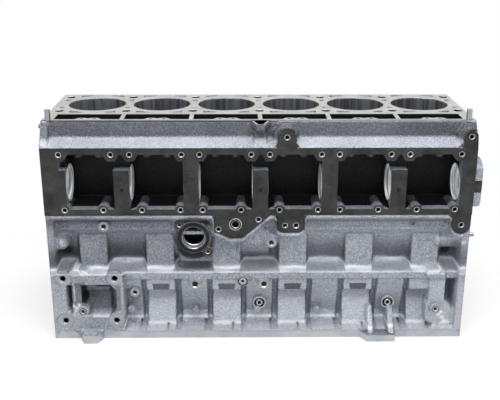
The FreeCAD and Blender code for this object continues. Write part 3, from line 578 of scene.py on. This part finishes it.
TONGUE = ([-112.0, -107.0, -72.0, -42.0, 25.0, 28.0], [155.0, 113.0, 97.0, 97.0, 154.0, 155.0])
EAR = ([38.0, 40.0, 52.0, 91.0, 103.0, 105.0], [155.0, 118.0, 110.0, 110.0, 118.0, 155.0])
REAR_FOOT, REAR_FOOT_R = (473.0, 128.0), 22.0


def flange_edge(x):
    """The height of the flange's lower edge along the block: straight lines between the corners of its tongue
    and ear, and a half circle under the rear foot."""
    low = np.full_like(x, FLANGE_LOW)
    off = x - REAR_FOOT[0]
    arc = REAR_FOOT[1] - np.sqrt(np.maximum(REAR_FOOT_R ** 2 - off ** 2, 0.0))
    foot = np.where(np.abs(off) < REAR_FOOT_R, arc, FLANGE_LOW)
    return np.minimum.reduce([low, np.interp(x, *TONGUE), np.interp(x, *EAR), foot])


BEAD_REACH, BEAD_FALL = 212.5, 9.0
BEAD_DROP, BEAD_HALF = 5.0, 8.0
SHOULDER_Z, SHOULDER_RISE = 110.0, 7.0
PAD_REACH, FLANGE_SIDE_REACH = 203.0, 210.5


def upper_wall_forms(x, z, reach, cell):
    """The wall under the flange: a bead along the flange's edge, a parabola in the drop below that edge, and
    a shoulder over the pads."""
    drop = flange_edge(x) - z
    bead = BEAD_REACH - BEAD_FALL * np.clip(np.abs(drop - BEAD_DROP) / BEAD_HALF, 0.0, 1.0) ** 2
    bead = np.where((drop > -1.0) & (drop < BEAD_DROP + BEAD_HALF), bead, 0.0)
    out = np.where(reach < PAD_REACH, reach + SHOULDER_RISE * swell(z, SHOULDER_Z, 9.0), reach)
    return np.maximum(out, np.where(reach < FLANGE_SIDE_REACH, bead, 0.0))


PAD_HALF, PAD_TOP = 30.0, 96.0
HOLLOW_Z, SHELF_Z = 134.0, 14.0
FRONT_HOLLOW, REAR_HOLLOW, END_BAR = (-470.0, 47.0), (455.0, 44.0), (457.0, 82.0)


def upper_wall_tones(x, z, reach, cell):
    """Painted shade in the hollow, round the pads, low in the valleys, round the port and in the hollows at
    both ends; painted highlights along the shelf's cove and edge and on the end bar; darker towards the front
    end.
    """
    pads = near(x, CENTRES, PAD_HALF, 6.0)
    valleys = 1.0 - pads
    # Painted shade under the flange, along the pads' tops, low in the valleys and beside the pads
    hollow = 0.42 * swell(z, HOLLOW_Z, 11.0) + 0.35 * pads * swell(z, PAD_TOP, 3.0)
    valley = 0.5 * valleys * step(z, PAD_TOP, 40.0) * step(z, 12.0, 24.0)
    side = near(x, CENTRES, PAD_HALF + 6.0, 3.0) - near(x, CENTRES, PAD_HALF, 3.0)
    outline = 0.22 * side * near(z, 55.0, 38.0, 8.0)
    from_port = np.hypot(x - PORT[0], (z - PORT[1]) * 0.9)
    port = 0.6 * (1.0 - step(from_port, 46.0, 56.0)) * step(z, 32.0, 44.0)
    ends = 0.9 * spot(x, z, FRONT_HOLLOW, 11.0) + 0.8 * spot(x, z, REAR_HOLLOW, 13.0)
    # Darker towards the front end
    darker_to_front = 0.22 * step(x, -150.0, -260.0)
    dark = hollow + valley + outline + port + ends + darker_to_front
    dark = np.where(z > SHELF_Z + 4.0 * valleys, dark, 0.0)
    # Painted highlight along the wavy cove of the shelf and on the shelf between the pads
    cove = 0.8 * swell(z, 6.0 + 11.0 * valleys + 1.5 * np.sin(x / 11.0), 6.0)
    shelf = np.maximum(cove, 0.3 * valleys * near(z, 5.0, 6.0, 4.0))
    # Painted highlights on the end bar and along the shelf's front edge
    end_bar = 0.5 * swell(z, END_BAR[1], 4.0) * near(x, END_BAR[0], 30.0, 4.0)
    edge = 0.3 * swell(z, 1.0, 1.5) - 0.12 * step(z, 8.0, 4.0)
    return shelf + end_bar + edge - dark


GROOVE_DEPTH = 13.0


def smoothed_over(reach, cell):
    """The reach with its grooves filled, by the furthest neighbour and then the nearest."""
    grown = shifted(reach, GROOVE_DEPTH, cell, np.maximum)
    return shifted(grown, GROOVE_DEPTH, cell, np.minimum)


def skirt_forms(x, z, reach, cell):
    """The skirt, with the grooves beside the bulges no deeper than GROOVE_DEPTH under their neighbours."""
    between_ends = (x > -318.0) & (x < 404.0) & (z < -20.0)
    return np.where(between_ends, np.maximum(reach, smoothed_over(reach, cell) - GROOVE_DEPTH), reach)


# Places of painted highlights on small lumps, at the mount pocket's foot and near the rear end
MOUNT_LUMP_HIGHLIGHTS = [(-453.0, -84.0), (-446.0, -89.0), (-438.0, -81.0), (-447.0, -97.0), (-440.0, -92.0)]
REAR_LUMP_HIGHLIGHTS = [(440.0, -112.0), (449.0, -120.0), (456.0, -130.0), (446.0, -104.0)]


def mount_pocket_tones(x, z, reach):
    """The pocket in the mount face: painted shade in its hollow, in the channels beside a lighter bulge and
    under the brow; painted highlights on the lip, the ledge and the lumps at its foot.
    """
    # Painted shade in the hollow, the channels and under the brow
    hollow = 0.55 * (reach < 188.0) * near(x, -411.0, 46.0, 5.0) * near(z, -62.0, 40.0, 5.0)
    front_channel = 0.5 * near(x, -438.0, 16.0, 4.0) * near(z, -52.0, 30.0, 5.0)
    rear_channel = 0.45 * near(x, -343.0, 5.0, 4.0) * near(z, -60.0, 30.0, 6.0)
    brow = 0.45 * near(x, -376.0, 17.0, 3.0) * near(z, -31.0, 6.0, 2.0)
    # Painted highlights on the lip, the ledge and small lumps
    lip = 0.6 * swell(x, -449.0, 2.2) * near(z, -46.0, 24.0, 6.0)
    ledge = 0.6 * swell(z, -109.0, 3.0) * near(x, -380.0, 24.0, 5.0)
    lump_highlights = sum(spot(x, z, at, 4.5) for at in MOUNT_LUMP_HIGHLIGHTS + REAR_LUMP_HIGHLIGHTS)
    bright = np.minimum(lump_highlights + lip + ledge, 1.0)
    return bright - (hollow + front_channel + rear_channel + brow) * (1.0 - bright)


EAVE_Z, RAIL_FOOT_Z = -40.0, -139.0


def skirt_tones(x, z, reach, cell):
    """Painted shadow under the eaves and painted shade down the grooves; a painted highlight along the rail's
    cove and the foot of the pads.
    """
    plain = (x > -330.0) & (x < 404.0)
    # Painted shade down the grooves and beside the end bulges
    groove = 0.16 * step(smoothed_over(reach, cell) - reach, 3.0, 12.0) * plain
    shade = 0.6 * (reach < 178.0) * near(x, [459.0, -310.0], 14.0, 6.0) * step(z, -100.0, -50.0)
    # Painted shadow that the band casts on the bulges under it
    eave = 0.88 * near(x, BULGES, 19.0 + (z + 36.0) * 0.15, 3.0) * near(z, EAVE_Z, 7.5, 2.0)
    pits = 1.4 * sum(spot(x, z, (c + dx, -142.0), 3.0) for c in CENTRES[1:] for dx in (-52.0, 15.0))
    plate = 0.13 - 0.15 * step(x, -318.0, -330.0)
    plate = plate + 0.1 * near(x, BULGES, 30.0, 4.0) * near(z, -92.0, 42.0, 6.0)
    foot = RAIL_FOOT_Z + 5.0 * near(x, MAINS, 26.0, 14.0)
    # Painted highlight along the rail's cove
    cove = 0.85 * swell(z, foot, 4.5) * (x > -330.0) * (x < 470.0)
    band = 0.15 * step(z, -24.0, -18.0)
    return np.maximum(cove, plate) + mount_pocket_tones(x, z, reach) - groove - eave - shade - pits - band


def strip_forms(x, z, reach, cell):
    """The strip under the deck as it is."""
    return reach


def strip_tones(x, z, reach, cell):
    """The strip's face is darker above about 335 mm and in a patch towards the rear; the shelf over the
    flange has a painted highlight.
    """
    patch = 0.12 * spot(x, 1.6 * z, (395.0, 560.0), 60.0)
    # Painted highlight on the shelf near 325 mm
    return 0.12 * near(z, 325.0, 6.0, 6.0) - 0.64 * step(z, 331.0, 339.0) - patch


CELL = 1.5
front_skin("cam_side_wall", (-4.0, 157.0), CELL, 133.0, upper_wall_forms, upper_wall_tones, 10.0, 2.0)
front_skin("crankcase_skirt", (-152.0, -4.0), CELL, 133.0, skirt_forms, skirt_tones, 6.0, 2.0)
front_skin("deck_edge_strip", (314.0, 370.4), CELL, 167.0, strip_forms, strip_tones, 8.0, 1.5)


# ---------------------------------------------------------------- turned details


AXES = {"x": ((0, 1, 0), (0, 0, 1), (1, 0, 0)), "y": ((1, 0, 0), (0, 0, 1), (0, -1, 0)),
        "z": ((1, 0, 0), (0, 1, 0), (0, 0, 1))}
SHARP_ANGLE = math.radians(32.0)


def turned(name, axis, places, profile, finishes, ring=False, steps=36):
    """Surfaces of revolution, one at each place (u, v, shift). Ring k, step j lies at (u + r_k cos a_j,
    v + r_k sin a_j, out_k + shift) with a_j = 2 pi j / steps, taken along the axis's own three directions.
    The profile's (radius, out) points run from the back to the front and back in; it closes on the axis, or
    on itself as a ring. Each finish covers the band from its point of the profile to the next."""
    line = np.array(profile, float)
    inner = line if ring else line[1:-1]
    angle = 2 * np.pi * np.arange(steps) / steps
    u, v = inner[:, :1] * np.cos(angle), inner[:, :1] * np.sin(angle)
    body = np.stack([u, v, np.broadcast_to(inner[:, 1:], u.shape)], axis=-1).reshape(-1, 3)
    index = np.arange(len(inner) * steps).reshape(len(inner), steps)
    first, second = index, np.roll(index, -1, axis=0)
    if not ring:
        first, second = first[:-1], second[:-1]
        body = np.concatenate([body, [[0, 0, line[0, 1]], [0, 0, line[-1, 1]]]])
    quads = np.stack([first, np.roll(first, -1, axis=1), np.roll(second, -1, axis=1), second], axis=-1)
    faces = [quads.reshape(-1, 4)]
    bands = [np.repeat(np.arange(len(first)) + (0 if ring else 1), steps)]
    if not ring:
        start, end = np.roll(index[0], -1), index[-1]
        back, front = np.full(steps, len(body) - 2), np.full(steps, len(body) - 1)
        faces.append(np.stack([start, index[0], back], axis=1))
        faces.append(np.stack([end, np.roll(end, -1), front], axis=1))
        bands += [np.zeros(steps, int), np.full(steps, len(first) + 1)]
    spots = np.array([tuple(place) + (0.0,) * (3 - len(place)) for place in places], float)
    points = (spots[:, None, :] + body[None, :, :]).reshape(-1, 3) @ np.array(AXES[axis], float)
    offset = (np.arange(len(spots)) * len(body))[:, None, None]
    rows = []
    for part in faces:
        rows += (part[None, :, :] + offset).reshape(-1, part.shape[1]).tolist()
    names = sorted(set(finishes))
    kind = [np.tile(np.array([names.index(finishes[b]) for b in band]), len(spots)) for band in bands]
    mesh = bpy.data.meshes.new(name)
    mesh.from_pydata((points * MM).tolist(), [], rows)
    mesh.polygons.foreach_set("material_index", np.concatenate(kind))
    mesh.polygons.foreach_set("use_smooth", np.ones(len(mesh.polygons), bool))
    for finish in names:
        mesh.materials.append(MATERIALS[finish])
    mesh.set_sharp_from_angle(angle=SHARP_ANGLE)
    mesh.update()
    return linked(name, mesh)


def boss(face, radius, hole, back, chamfer, deep):
    """The profile of a round boss with a chamfered edge and a drilled hole."""
    return [(0, back), (radius + 2.0, back), (radius, face - 4.0), (radius - 1.2, face),
            (hole + chamfer, face), (hole, face - chamfer), (hole, face - deep), (0, face - deep)]


BOSS_FINISH = ["cast_wall"] * 3 + ["mount_iron", "bright_rim", "dark_hole", "dark_hole"]
RIM_FINISH = ["dark_hole", "flange_face", "flange_face", "bright_rim", "bright_rim", "dark_hole", "dark_hole"]
PILLARS = MAINS[1::2]
TOP_BOLTS = [(m + side * x, 301.0) for m in PILLARS for x in (139.6, 21.4) for side in (-1, 1)]
LOW_BOLTS = [(m + side * x, 167.0) for m in PILLARS for x in (134.3, 44.8) for side in (-1, 1)]
APRON_HOLES = [(-98.0, 119.0), (-4.0, 143.0), (58.0, 128.0), REAR_FOOT, LUG, REAR_LUG]
RIM_DEPTH = 15.0


def hole_rim(face, outer, hole):
    """The profile of a drilled hole's broken edge, a little proud of its face."""
    back, bottom, proud = face - RIM_DEPTH - 3, face - RIM_DEPTH, face + 0.45
    return [(0, back), (outer, back), (outer, face + 0.05), (outer - 0.5, proud), (hole + 1.4, proud),
            (hole, face - 1.0), (hole, bottom), (0, bottom)]


LOBE_FINISH = ["cast_inside", "lobe_iron", "bright_rim", "flange_face", "dark_hole", "dark_hole"]


def lobe(radius):
    """The profile of a bolt lobe that stands into a window, with its hole."""
    face = 211.08
    return [(0, 140), (radius, 140), (radius, 209.9), (radius - 0.9, face), (6.4, face), (6.4, 190), (0, 190)]


turned("window_head_lobes", "y", TOP_BOLTS, lobe(14.4), LOBE_FINISH)
turned("window_sill_lobes", "y", LOW_BOLTS, lobe(11.9), LOBE_FINISH)
turned("push_rod_guides", "z", [(c + dx, -146.0) for c in CENTRES for dx in (-26.0, 22.0)],
       [(0, 278), (9.0, 278), (13.0, 284), (15.0, 306), (0, 306)], ["lobe_iron"] * 4)
turned("flange_hole_rims", "y", TOP_BOLTS + LOW_BOLTS + APRON_HOLES, hole_rim(211.1, 7.4, 4.3), RIM_FINISH)
turned("pillar_holes", "y", [(m, 216.0) for m in PILLARS],
       [(0, 209), (6.4, 209), (6.4, 211.2), (6.0, 211.4), (5.6, 211.4), (5.4, 211.1), (0, 211.1)],
       ["dark_hole", "flange_face", "flange_face", "hole_iron", "dark_hole", "dark_hole"])
turned("oil_feed_hole", "y", [(-58.0, 131.0)],
       [(0, 193), (15.0, 193), (15.0, 211.1), (14.6, 211.4), (13.2, 211.4), (12.8, 211.1), (9.6, 211.1),
        (8.4, 210.2), (8.4, 196), (0, 196)],
       ["dark_hole", "flange_face", "bright_rim", "bright_rim", "dark_hole", "flange_face", "bright_rim",
        "dark_hole", "dark_hole"])
turned("ear_hole", "y", [(84.0, 128.0)], hole_rim(211.0, 8.0, 5.0), RIM_FINISH)
turned("oil_port_face", "y", [PORT],
       [(0, 156), (40.8, 156), (40.8, 206.0), (39.6, 207.6), (36.5, 207.6), (36.0, 205.6), (31.5, 205.6),
        (31.0, 207.6), (28.0, 207.6), (26.6, 206.0), (26.6, 190.0), (24.5, 188.0), (24.5, 156.3), (0, 156.3)],
       ["dark_hole", "cast_wall", "bright_rim", "port_iron", "port_iron", "dark_hole", "port_iron",
        "port_iron", "bright_rim", "port_iron", "bright_rim", "dark_hole", "dark_hole"], steps=64)
turned("oil_port_ears", "y", PORT_EARS,
       [(0, 180), (12.5, 180), (12.5, 204.6), (11.5, 206.0), (5.6, 206.0), (4.6, 205.1), (0, 205.1)],
       ["cast_wall", "cast_wall", "bright_rim", "port_iron", "bright_rim", "dark_hole"])
turned("mount_bosses", "y", MOUNT_BOLTS,
       [(0, 184), (14.0, 184), (20.5, 198.0), (20.5, 204.0), (19.0, 206.6), (9.6, 206.6), (6.8, 203.8),
        (6.8, 186), (0, 186)],
       ["cast_wall"] * 4 + ["mount_iron", "bright_rim", "dark_hole", "dark_hole"])
turned("wall_bosses", "y", [(-368.0, 124.0), (27.0, 82.0)], boss(206.0, 13.0, 5.2, 165.0, 1.6, 3.2),
       BOSS_FINISH)
turned("long_boss_stem", "y", [(27.0, 88.0)],
       [(0, 140), (17.0, 140), (15.0, 192.0), (12.0, 196.0), (0, 197.0)], ["cast_wall"] * 4)
turned("lug_collar", "y", [LUG],
       [(0, 165), (25.5, 165), (25.5, 188.0), (21.0, 196.0), (0, 196.0)], ["cast_wall"] * 4)
turned("rear_lug_collar", "y", [REAR_LUG],
       [(0, 165), (16.8, 165), (16.8, 190.0), (15.0, 196.0), (0, 196.0)], ["cast_wall"] * 4)
turned("end_stub", "y", [(-470.0, 79.0)],
       [(0, 140), (15.0, 140), (15.0, 190.0), (13.4, 197.0), (9.0, 202.0), (4.0, 204.0), (0, 204.4)],
       ["cast_wall"] * 6)
turned("band_bosses", "y", [(-156.0, -26.0), (10.0, -26.0)], boss(206.0, 13.5, 6.4, 175.0, 2.4, 3.2),
       BOSS_FINISH)
turned("ring_plug", "y", [(-41.0, -22.0)],
       [(0, 170), (15.0, 170), (14.6, 194.0), (13.6, 196.0), (12.4, 196.0), (12.2, 193.0), (9.4, 193.0),
        (9.0, 196.5), (4.0, 196.5), (3.4, 195.5), (3.4, 188), (0, 188)],
       ["cast_wall"] * 3 + ["bright_rim", "dark_hole", "dark_hole"] + ["bright_rim"] * 3 + ["dark_hole"] * 2)
turned("drain_bosses", "y", [(0.0, -88.0), (317.0, -88.0)],
       [(0, 140), (18.0, 140), (17.0, 178.0), (15.8, 180.0), (13.4, 180.0), (12.4, 178.8), (12.4, 166.0),
        (8.6, 166.0), (8.4, 179.0), (7.4, 180.2), (5.0, 180.2), (4.2, 179.2), (4.2, 165), (0, 165)],
       ["cast_wall"] * 3 + ["bright_rim"] * 2 + ["dark_hole"] * 2 + ["bright_rim"] * 4 + ["dark_hole"] * 2)
turned("skirt_boss", "y", [(-304.0, -54.0)], boss(190.0, 12.5, 4.2, 150.0, 1.3, 14.0), BOSS_FINISH)
turned("foot_bosses", "y", [(-316.0, -104.0), (-157.0, -108.0), (-5.0, -106.0), (142.0, -106.0)],
       [(0, 140), (11.0, 140), (9.6, 182.0), (7.6, 184.4), (0, 184.8)], ["cast_wall"] * 4)
turned("corner_pads", "y", [(-430.0, -97.0), (430.0, -94.0)],
       [(0, 180), (16.0, 180), (15.0, 203.0), (13.0, 206.5), (9.0, 206.5), (8.6, 205.0), (7.4, 205.0),
        (7.0, 206.8), (5.2, 206.8), (4.2, 205.4), (0, 205.2)],
       ["cast_wall"] * 2 + ["bright_rim", "mount_iron"] + ["dark_hole"] * 3 + ["bright_rim"] * 2
       + ["dark_hole"])
turned("plain_hole", "y", [(365.0, 124.0)], boss(188.5, 8.0, 4.8, 160.0, 1.3, 5.0), BOSS_FINISH)
turned("head_bolt_rims", "z", [(min(max(m, -485.0), 479.0), y) for m in MAINS for y in (79.0, -73.0)],
       [(0, 312), (12.6, 312), (12.6, 370.9), (12.2, 371.12), (11.2, 371.12), (10.3, 370.2), (10.3, 318),
        (0, 318)],
       ["dark_hole", "deck_face", "deck_face", "deck_face", "bright_rim", "dark_hole", "dark_hole"])
turned("deck_lobe_holes", "z", [(c + dx, -153.0) for c in CENTRES for dx in (-13.0, 17.0)],
       [(0, 350), (7.6, 350), (7.6, 370.9), (7.3, 371.15), (5.4, 371.15), (4.2, 371.04), (0, 371.04)],
       ["dark_hole", "deck_face", "deck_face", "deck_face", "bright_rim", "dark_hole"])
turned("liner_bores", "z", [(c, 0.0) for c in CENTRES],
       [(70.0, 100.5), (71.5, 100.5), (73.2, 370.9), (73.0, 371.14), (71.6, 371.14), (70.0, 369.4)],
       ["honed_iron"] * 2 + ["bright_rim"] * 3 + ["honed_iron"], ring=True, steps=128)
turned("cam_boss_lining", "x", [(CAM_Y, CAM_Z, 0.0)],
       [(41.6, 496.4), (44.5, 496.4), (44.5, 513.6), (41.6, 513.6)], ["port_iron"] * 4, ring=True, steps=72)
WEBS = [(-474.5, 27.5)] + [(m, 18.0) for m in MAINS[1:6]] + [(479.0, 17.0)]
PAST_WEB = 0.3
for number, (middle, half_width) in enumerate(WEBS):
    end = half_width + PAST_WEB
    turned(f"cam_bearing_{number + 1}", "x", [(CAM_Y, CAM_Z, middle)],
           [(42.2, -end), (44.5, -end), (44.5, end), (42.2, end)], ["cam_bore"] * 4, ring=True, steps=72)


# ---------------------------------------------------------------- floor, light and camera


PAPER = (0.82, 0.82, 0.82, 1)
WHITE = (1, 1, 1, 1)


def card(name, finish, corners, whiteness):
    """A flat card of four corners, in matt paper that turns plain white to the camera and in mirrors, as far
    as whiteness(sheet, seen) says."""
    mesh = bpy.data.meshes.new(name)
    mesh.from_pydata(corners, [], [(0, 1, 2, 3)])
    piece = bpy.data.objects.new(name, mesh)
    bpy.context.scene.collection.objects.link(piece)
    material = bpy.data.materials.new(finish)
    material.use_nodes = True
    material.node_tree.nodes.clear()
    sheet = Sheet(material.node_tree)
    paper = sheet.add("ShaderNodeBsdfDiffuse", {"Color": PAPER})
    glow = sheet.add("ShaderNodeEmission", {"Color": WHITE, "Strength": 1.0})
    path = sheet.add("ShaderNodeLightPath").outputs
    seen = sheet.maths("ADD", path["Is Camera Ray"], path["Is Glossy Ray"], clamp=True)
    mix = sheet.add("ShaderNodeMixShader", {"Fac": whiteness(sheet, seen), 1: paper.outputs[0],
                                            2: glow.outputs[0]})
    sheet.add("ShaderNodeOutputMaterial", {"Surface": mix.outputs[0]})
    mesh.materials.append(material)
    piece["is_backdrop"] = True


def shadow_near(sheet, seen):
    """White far away, and only part white near the object, where its shadow falls."""
    away = sheet.add("ShaderNodeVectorMath", {0: sheet.place((1.0, 1.6, 1.0))}, operation="LENGTH")
    return sheet.maths("MULTIPLY", seen, sheet.band(away.outputs["Value"], 0.45, 1.5, 0.55, 1.0))


def stage_floor():
    """A pale floor that keeps a soft shadow and reads near white to the camera."""
    half, low = 14.0, PAN_Z * MM
    corners = [(-half, -half, low), (half, -half, low), (half, half, low), (-half, half, low)]
    card("floor", "floor_paper", corners, shadow_near)


def stage_backdrop():
    """A white card behind the block, which the deck mirrors."""
    half, low, high, back = 9.0, PAN_Z * MM, 4.2, 4.5
    corners = [(-half, back, low), (half, back, low), (half, back, high), (-half, back, high)]
    card("backdrop", "backdrop_card", corners, lambda sheet, seen: seen)


LAMPS_AIM = Vector((0, 0, 0.1))


def lamp(name, where, size, watts):
    """A soft box that points at the middle of the block."""
    data = bpy.data.lights.new(name, "AREA")
    data.shape, data.size, data.size_y, data.energy = "RECTANGLE", size[0], size[1], watts
    light = bpy.data.objects.new(name, data)
    light.location = where
    light.rotation_euler = (LAMPS_AIM - Vector(where)).to_track_quat("-Z", "Y").to_euler()
    bpy.context.scene.collection.objects.link(light)


# The share of white that the surround gives as light; the camera sees it whole
WORLD_LIGHT = 0.35


def stage_world():
    """An even pale surround, white to the camera."""
    world = bpy.data.worlds.new("studio")
    bpy.context.scene.world = world
    world.use_nodes = True
    world.node_tree.nodes.clear()
    sheet = Sheet(world.node_tree)
    path = sheet.add("ShaderNodeLightPath").outputs
    strength = sheet.maths("MULTIPLY_ADD", path["Is Camera Ray"], 1.0 - WORLD_LIGHT, WORLD_LIGHT)
    back = sheet.add("ShaderNodeBackground", {"Color": WHITE, "Strength": strength})
    sheet.add("ShaderNodeOutputWorld", {"Surface": back.outputs[0]})


CAMERA_PLACE = Vector((-48.69, -1993.96, 819.25)) * MM
CAMERA_DOWN, CAMERA_YAW, CAMERA_ROLL = 19.39, 0.79, 0.12
CAMERA_SENSOR, CAMERA_LENS = 36.0, 58.70


def stage_camera():
    """The camera in front of the cam side, a little above the deck."""
    down, yaw, roll = math.radians(CAMERA_DOWN), math.radians(CAMERA_YAW), math.radians(CAMERA_ROLL)
    ahead = Vector((math.sin(yaw) * math.cos(down), math.cos(yaw) * math.cos(down), -math.sin(down)))
    right = Vector((math.cos(yaw), -math.sin(yaw), 0.0))
    up = right.cross(ahead)
    right, up = (right * math.cos(roll) + up * math.sin(roll), up * math.cos(roll) - right * math.sin(roll))
    data = bpy.data.cameras.new("camera")
    data.sensor_width, data.lens = CAMERA_SENSOR, CAMERA_LENS
    data.clip_start, data.clip_end = 0.05, 60.0
    camera = bpy.data.objects.new("camera", data)
    turn = Matrix((right, up, -ahead)).transposed().to_4x4()
    camera.matrix_world = Matrix.Translation(CAMERA_PLACE) @ turn
    bpy.context.scene.collection.objects.link(camera)
    bpy.context.scene.camera = camera


stage_floor()
stage_backdrop()
stage_world()
lamp("overhead", (0.1, -0.2, 2.4), (3.0, 1.2), 55.0)
lamp("key", (0.05, -1.6, 2.2), (3.0, 0.9), 62.0)
lamp("front_left", (-2.4, -2.2, 1.0), (1.2, 1.6), 9.0)
lamp("front_right", (2.6, -2.0, 0.9), (1.2, 1.6), 11.0)
stage_camera()
bpy.context.scene.view_settings.view_transform = "Standard"

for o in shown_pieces():
    if body_of(o) is None:
        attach(o, "root")
